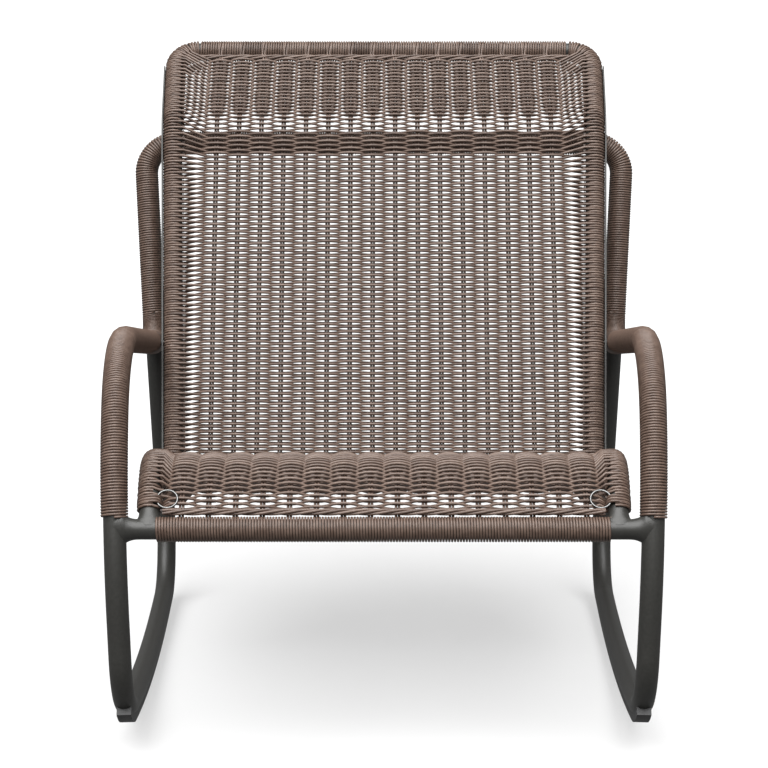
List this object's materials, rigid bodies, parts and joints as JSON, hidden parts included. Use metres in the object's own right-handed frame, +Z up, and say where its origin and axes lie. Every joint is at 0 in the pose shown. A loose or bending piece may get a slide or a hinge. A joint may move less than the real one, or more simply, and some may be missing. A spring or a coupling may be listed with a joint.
{
  "type": "outdoor rocking chair",
  "caption": "Outdoor rocking lounge chair: dark bent-tube side frames on curved rockers carry one long woven seat, back and head part, with wicker-wrapped arms and small tie rings.",
  "frame": {"origin": "on the floor under the middle of the chair's bounding box", "axes": "+Z up, the chair faces -Y, +X toward the sitter's left"},
  "size_m": [0.7436, 0.8839, 0.836],
  "materials": {
    "frame_paint": "satin",
    "wicker": "satin",
    "ring_steel": "polished",
    "screw_steel": "satin",
    "runner_plastic": "matte"
  },
  "bodies": {
    "chair": {"back_weave": "wicker", "crossbar_wrap": "wicker", "front_border": "wicker", "front_rail": "frame_paint", "front_wrap": "wicker", "head_weave": "wicker", "hoop_tube": "frame_paint", "left_arm_link": "frame_paint", "left_arm_tube": "frame_paint", "left_arm_wrap": "wicker", "left_back_link": "frame_paint", "left_back_rail_wrap": "wicker", "left_edge_strip": "frame_paint", "left_foot_wrap": "wicker", "left_front_plug": "frame_paint", "left_front_screw": "screw_steel", "left_hoop_plug": "frame_paint", "left_rear_screw": "screw_steel", "left_ring_keeper": "wicker", "left_rocker_tube": "frame_paint", "left_runner": "runner_plastic", "left_seat_rail_wrap": "wicker", "left_side_rail": "frame_paint", "left_upright_wrap": "wicker", "right_arm_link": "frame_paint", "right_arm_tube": "frame_paint", "right_arm_wrap": "wicker", "right_back_link": "frame_paint", "right_back_rail_wrap": "wicker", "right_edge_strip": "frame_paint", "right_foot_wrap": "wicker", "right_front_plug": "frame_paint", "right_front_screw": "screw_steel", "right_hoop_plug": "frame_paint", "right_rear_screw": "screw_steel", "right_ring_keeper": "wicker", "right_rocker_tube": "frame_paint", "right_runner": "runner_plastic", "right_seat_rail_wrap": "wicker", "right_side_rail": "frame_paint", "right_upright_wrap": "wicker", "seat_front_weave": "wicker", "seat_rear_weave": "wicker", "seat_weave": "wicker", "top_border": "wicker", "top_rail": "frame_paint", "top_wrap": "wicker"},
    "left_ring": {"left_tie_ring": "ring_steel"},
    "right_ring": {"right_tie_ring": "ring_steel"}
  },
  "joints": [
    {"name": "left_ring_hinge", "type": "hinge", "parent": "chair", "child": "left_ring", "pos_m": [0.27784, -0.39858, 0.32987], "axis": [0.0301, 0.7242, 0.689], "range_deg": [0, 110]},
    {"name": "right_ring_hinge", "type": "hinge", "parent": "chair", "child": "right_ring", "pos_m": [-0.27784, -0.39858, 0.32987], "axis": [0.0301, -0.7242, -0.689], "range_deg": [0, 110]}
  ]
}
